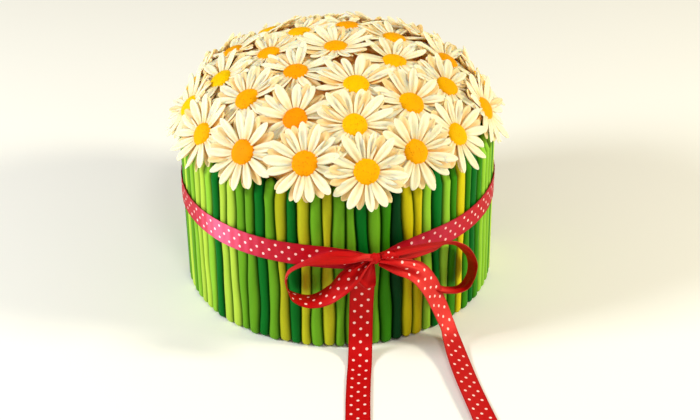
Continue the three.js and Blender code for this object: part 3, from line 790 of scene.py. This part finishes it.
def make_centres(name, nodes, daisies):
    """The yellow centres of a group: low domes turned about their axes and closed by a flat underside.
    Their edges wave as two sines of the turn, and their tops are dented as a sine of x times one of y."""
    share = np.array([1.0, 0.985, 0.94, 0.85, 0.73, 0.58, 0.4, 0.2])[:, None]
    turn = np.arange(32) * math.pi / 16
    parts, spots, tones = [], [], []
    for number, daisy in enumerate(daisies):
        wave = 1 + 0.018 * np.sin(3 * turn + 7 * daisy.tone) + 0.012 * np.sin(7 * turn + 20 * daisy.tone)
        r = daisy.disc_radius * share * wave
        x, y = r * np.cos(turn), r * np.sin(turn)
        dents = np.sin(x / MM * 1.3 + 9 * daisy.tone) * np.sin(y / MM * 1.1 + 4 * daisy.tone)
        height = daisy.disc_top(share) + 0.12 * MM * dents * (1 - share ** 2)
        floor = daisy.disc_top(1.0) - 0.2 * MM
        under = np.stack([x[0] * 0.97, y[0] * 0.97, np.full(len(turn), floor)], -1)[None]
        rings = np.concatenate([under, np.stack([x, y, height], -1)])[None]
        poles = np.array([[0, 0, floor], [0, 0, height[-1].mean() + 0.05 * MM]])
        parts.append(closed_tubes(*(daisy.to_cake(p) for p in (rings, poles[:1], poles[1:]))))
        local = np.concatenate([rings.reshape(-1, 3), poles]) / MM
        spots.append(local * (1, 1, 0.3) + 40 * number + 300 * daisy.tone)
        tones.append(np.full(len(local), daisy.tone))
    make_piece(name, *joined(parts), [CENTRE_PASTE], "centre_paste", nodes,
               on_disc=np.concatenate(spots), tone=np.concatenate(tones))


def make_daisies():
    """Two pieces for each group of neighbours: its petals and its centres."""
    daisies = lay_daisies()
    for ring, (name, groups, _) in enumerate(RINGS):
        for group in range(groups):
            label = f"{name}_{group + 1}" if groups > 1 else name
            own = [daisy for daisy in daisies if daisy.ring == ring and daisy.group == group]
            make_petals(f"daisy_petals_{label}", [f"petals_{label}"], own)
            nodes = [f"centre_{label}_{i + 1}" for i in range(len(own))]
            make_centres(f"daisy_centres_{label}", nodes, own)


# ---- ribbon

def pleat_height(narrow):
    """Height of the sine pleats, in flat half widths, that keep the ribbon's full width along the cloth
    where it is drawn in to the share `narrow` of it. It is read off the lengths of trial sines."""
    v = np.linspace(-1, 1, 101)
    trial = np.linspace(0, 0.5, 80)[:, None]
    slope = trial * math.pi * PLEATS * np.cos(math.pi * PLEATS * v)
    lengths = [np.sqrt(share ** 2 + slope ** 2).mean(axis=1) for share in narrow]
    return np.array([np.interp(1.0, long, trial[:, 0]) if long[0] < 1 else 0.0 for long in lengths])


def ribbon_faces(middle, wide, folds):
    """The front and the back of a strip of ribbon, with s and v: s is the way along the flat cloth in
    metres, and v runs from 1 to -1 across it. A point is middle(s) + v wide(s) + relief(s, v) times the
    strip's normal, where the relief is the pleats plus folds(s, v), and the faces lie half a thickness
    off it along the surface's own normal. `middle` and `wide` are rows along the strip."""
    v = np.linspace(1, -1, RIBBON_COLUMNS)
    along = unit(np.gradient(middle, axis=0))
    half = np.linalg.norm(wide, axis=1)
    wide = unit(wide - along * (wide * along).sum(axis=1, keepdims=True)) * half[:, None]
    normal = unit(np.cross(along, wide))
    s = np.concatenate([[0], np.cumsum(np.linalg.norm(np.diff(middle, axis=0), axis=1))])
    narrow = np.minimum(half / (RIBBON_WIDTH / 2), 1)
    pleats = pleat_height(narrow)[:, None] * RIBBON_WIDTH / 2 * np.sin(math.pi * PLEATS * v + 0.6)
    relief = pleats + folds(s[:, None], v[None, :])
    skin = middle[:, None] + wide[:, None] * v[:, None] + normal[:, None] * relief[..., None]
    lean = unit(np.cross(np.gradient(skin, axis=0), -np.gradient(skin, axis=1)))
    return skin + lean * RIBBON_THICK / 2, skin - lean * RIBBON_THICK / 2, s, v


def ribbon_sheet(name, node, middle, wide, dots_inside, folds, rests_on, held, print_from=-9.0,
                 printed_satin=SATIN_DOTTED):
    """A strip of ribbon: rings of points down its front and up its back, closed at both ends. The dots
    are on the front, or on the back with dots_inside, and start at print_from metres along it, which is
    one number or a number for each column."""
    front, back, s, v = ribbon_faces(middle, wide, folds)
    rings = np.concatenate([front, back[:, ::-1]], axis=1)
    n, m = rings.shape[:2]
    on_front = (np.broadcast_to(np.arange(m), (n - 1, m)) < len(v) - 1).ravel()
    j = np.arange(len(v) - 1)
    start = np.stack([j, m - 1 - j, m - 2 - j, j + 1], -1)
    end = start[:, ::-1] + (n - 1) * m
    quads = np.concatenate([ring_quads(n, m), start, end])
    plain = np.concatenate([on_front if dots_inside else ~on_front, np.ones(2 * len(j), bool)])
    flat = np.stack(np.broadcast_arrays(s[:, None], v * RIBBON_WIDTH / 2, 0.0), -1) / MM
    weft = np.concatenate([flat, flat[:, ::-1]], axis=1)
    shown = rise(s[:, None] - print_from * np.ones(len(v)), 0, 1 * MM)
    printed = np.concatenate([shown, shown[:, ::-1]], axis=1).ravel()
    piece = make_piece(name, rings, quads, [], [printed_satin, SATIN_PLAIN], "ribbon_satin", [node],
                       plain, weft=weft, printed=printed)
    piece.data.set_sharp_from_angle(angle=math.radians(55))


def strip_from(stations, steps):
    """Middle line and half width of a strip, both splines through its stations."""
    rows = np.array(stations, float)
    middle = curve_through(around(rows[:, 0], rows[:, 1] * MM, rows[:, 2] * MM), steps)
    wide = curve_through(unit(rows[:, 3:6]) * rows[:, 6:] / 2 * MM, steps)
    return middle, wide


def make_band():
    """The ribbon round the stems, from the right of the knot to its left. It lies on the crowns of the
    stems, and near the knot it dips, leans, stands off and is drawn in, each by a bell curve."""
    azimuth = KNOT_AZIMUTH + np.linspace(1.5, 358.5, 520)
    off = np.minimum(azimuth - KNOT_AZIMUTH, KNOT_AZIMUTH + 360 - azimuth)
    dip = 3.2 * MM * bump_at(off, 0, 15)
    half = RIBBON_WIDTH / 2 * (1 - 0.62 * bump_at(off, 0, 7))
    stems = 0.07 * MM * np.cos(np.radians(azimuth * STEM_COUNT))
    r = BAND_RADIUS - 0.35 * MM + stems + 1.6 * MM * bump_at(off, 0, 9)
    middle = around(azimuth, r, BAND_HEIGHT - dip)
    lean = 0.25 * bump_at(off, 0, 18) * np.sign(azimuth - KNOT_AZIMUTH - 180)
    wide = unit(np.array([0, 0, 1.0]) + around(azimuth + 90, 1, 0) * lean[:, None]) * half[:, None]

    def folds(s, v):
        """A crease across the band on each side of the knot, and slow waves along it."""
        start_crease = bump_at(s, 22 * MM, 5 * MM) * np.sin(2.2 * v + 0.5)
        end_crease = 0.8 * bump_at(s, s.max() - 20 * MM, 6 * MM) * v
        return 0.7 * MM * (start_crease + end_crease) + 0.12 * MM * np.sin(s / (11 * MM) + 2 * v)

    stems_under = [f"rolled_stems_{i + 1}" for i in range(BUNDLES)]
    ribbon_sheet("satin_band", "ribbon_band", middle, wide, False, folds, stems_under, "stretched",
                 printed_satin=SATIN_TIGHT)


def make_bow():
    """The two loops and the two tails."""
    def loop_folds(s, v):
        """The edges lift as the square of v, and slow waves run along the ribbon."""
        return 0.25 * MM * v ** 2 + 0.2 * MM * np.sin(s / (9 * MM) + 1.5 * v)

    def flap(v):
        """Where the left tail folds over below the knot: a V that hangs lowest right of the middle."""
        return (16 + 7 * (1 - np.abs(v - 0.35) / 1.35)) * MM

    def left_folds(s, v):
        """A bell-shaped fold along the flap's edge, lifted edges and slow waves."""
        fold = bump_at(s, flap(v) - 2 * MM, 2 * MM)
        return 2.2 * MM * fold + 0.3 * MM * v ** 2 + 0.25 * MM * np.sin(s / (21 * MM) + 2.5 * v)

    def right_folds(s, v):
        """Lifted edges, slow waves, and a twist near the knot as a bell curve times v."""
        waves = 0.3 * MM * np.sin(s / (16 * MM) + 2 * v)
        return 0.5 * MM * v ** 2 + waves + 0.5 * MM * bump_at(s, 24 * MM, 6 * MM) * v

    for side, stations, steps in (("left", LOOP_LEFT, 150), ("right", LOOP_RIGHT, 160)):
        ribbon_sheet(f"satin_loop_{side}", f"ribbon_loop_{side}", *strip_from(stations, steps), True,
                     loop_folds, ["satin_knot"], "folded")
    v = np.linspace(1, -1, RIBBON_COLUMNS)
    tails = (
        ("left", TAIL_LEFT, 160, left_folds, flap(v)),
        ("right", TAIL_RIGHT, 170, right_folds, (15 - 10 * v) * MM),
    )
    for side, stations, steps, folds, print_from in tails:
        ribbon_sheet(f"satin_tail_{side}", f"ribbon_tail_{side}", *strip_from(stations, steps), False,
                     folds, ["satin_knot"], "hung", print_from)


def make_knot():
    """The knot and the small roll of ribbon beside it: each is an egg whose skin is ridged round its
    long way by a cosine, as cloth is that is pulled tight. The roll has a bell-shaped hollow in front."""
    lumps = (
        # azimuth, distance, height, half sizes sideways, out and up, ridges, their depth, hollow, tilt
        (KNOT_AZIMUTH - 0.4, 115.3, 73.6, 5.0, 3.0, 3.9, 5, 0.08, 0.0, -0.1),
        (KNOT_AZIMUTH + 4.6, 117.6, 75.2, 5.6, 3.4, 3.5, 2, 0.06, 0.4, -0.3),
    )
    steps, corners = 24, 32
    lat = np.linspace(-math.pi / 2, math.pi / 2, steps + 2)[:, None]
    turn = np.arange(corners) * 2 * math.pi / corners
    front = np.minimum(turn, 2 * math.pi - turn)
    parts = []
    for azimuth, r, z, wide, deep, tall, ridges, depth, hollow, tilt in lumps:
        swell = 1 + depth * np.cos(2 * ridges * lat + 2 * np.sin(turn)) * np.cos(lat)
        swell = swell - hollow * bump_at(lat, 0.1, 0.55) * bump_at(front, 0, 0.6)
        side = np.broadcast_to(wide * np.sin(lat), swell.shape)
        out, up = deep * np.cos(lat) * swell * np.cos(turn), tall * np.cos(lat) * swell * np.sin(turn)
        side, up = side * math.cos(tilt) - up * math.sin(tilt), side * math.sin(tilt) + up * math.cos(tilt)
        centre = around(azimuth, r * MM, z * MM)
        axes = np.stack([around(azimuth + 90, 1, 0), around(azimuth, 1, 0), np.array([0, 0, 1.0])])
        rings = centre + np.stack([side, out, up], -1) * MM @ axes
        points, quads, triangles = closed_tubes(rings[None, 1:-1], rings[:1, 0], rings[-1:, 0])
        parts.append((points, quads[:, ::-1], triangles[:, ::-1]))
    # The knot shows the ribbon's plain face, and the roll its printed one.
    which = np.concatenate([np.repeat([1, 0], len(quads)), np.repeat([1, 0], len(triangles))])
    weft = np.stack(np.broadcast_arrays(turn * 3.6, 8 * np.sin(lat[1:-1]), 0.0), -1).reshape(-1, 3)
    weft = np.tile(np.vstack([weft, [[0, -8, 0], [0, 8, 0]]]), (len(lumps), 1))
    make_piece("satin_knot", *joined(parts), [SATIN_DOTTED, SATIN_PLAIN], "ribbon_satin", ["ribbon_knot"],
               which, weft=weft, printed=np.ones(len(weft)))


# ---- camera, lights and floor

def standing(side, up, back, place):
    """The matrix that turns an object's axes to side, up and back, and stands it at place."""
    matrix = Matrix.Identity(4)
    for column, axis in enumerate((side, up, back, place)):
        matrix.col[column][:3] = axis
    return matrix


def make_camera():
    """At the photograph's viewing angle: turned right, then down, then rolled about its own axis."""
    right, down, roll = (math.radians(turn) for turn in CAMERA_TURN)
    level = np.array([math.sin(right), math.cos(right), 0])
    forward = level * math.cos(down) - np.array([0, 0, math.sin(down)])
    across = np.array([math.cos(right), -math.sin(right), 0])
    up = np.cross(across, forward)
    rolled_across = across * math.cos(roll) + up * math.sin(roll)
    rolled_up = up * math.cos(roll) - across * math.sin(roll)
    camera = bpy.data.objects.new("camera", bpy.data.cameras.new("camera"))
    camera.data.sensor_width = 36
    camera.data.lens = CAMERA_LENS
    camera.matrix_world = standing(rolled_across, rolled_up, -forward, CAMERA_PLACE)
    bpy.context.scene.collection.objects.link(camera)
    bpy.context.scene.camera = camera


def make_light(name, place, size, watts, colour, sheen_only=False):
    """A soft square light that faces the cake. One that is sheen_only shows in gloss alone."""
    light = bpy.data.lights.new(name, "AREA")
    light.shape, light.size, light.energy, light.color = "SQUARE", size, watts, colour
    lamp = bpy.data.objects.new(name, light)
    aim = unit(np.array(LIGHTS_AIM) - np.array(place))
    side = unit(np.cross(aim, [0, 0, 1.0]))
    lamp.matrix_world = standing(side, np.cross(side, aim), -aim, place)
    lamp.visible_diffuse = not sheen_only
    bpy.context.scene.collection.objects.link(lamp)


def keep_light_to(lamp_name, *piece_names):
    """Screens a light off from all but these pieces, so its gloss doesn't wash out the others."""
    reached = bpy.data.collections.new(lamp_name)
    for name in piece_names:
        reached.objects.link(bpy.data.objects[name])
    bpy.data.objects[lamp_name].light_linking.receiver_collection = reached


def make_studio():
    """A plain pale floor, soft light from both sides, the right one warmer, and low sheen lights."""
    f = Finish("studio_floor", {
        "Base Color": paint("#fbfbf7"), "Roughness": 0.7, "Specular IOR Level": 0.2,
    })
    mesh = bpy.data.meshes.new("studio_floor")
    mesh.from_pydata([(-4, -4, 0), (4, -4, 0), (4, 4, 0), (-4, 4, 0)], [], [(0, 1, 2, 3)])
    mesh.materials.append(f.material)
    floor = bpy.data.objects.new("studio_floor", mesh)
    bpy.context.scene.collection.objects.link(floor)
    for light in SOFT_LIGHTS:
        make_light(*light)
    for light in SHEEN_LIGHTS:
        make_light(*light, sheen_only=True)
    world = bpy.data.worlds.new("studio")
    world.use_nodes = True
    sky = world.node_tree.nodes["Background"].inputs
    sky["Color"].default_value = (1.0, 0.93, 0.8, 1)
    sky["Strength"].default_value = 0.32
    bpy.context.scene.world = world
    bpy.context.scene.view_settings.view_transform = "Standard"


make_camera()
make_studio()
make_cake()
for bundle in range(BUNDLES):
    make_stems(bundle)
make_daisies()
make_knot()
make_band()
make_bow()
keep_light_to("sheen_left", "satin_band", "satin_loop_left")
keep_light_to("sheen_right", "satin_tail_right", "satin_loop_left", "satin_loop_right")
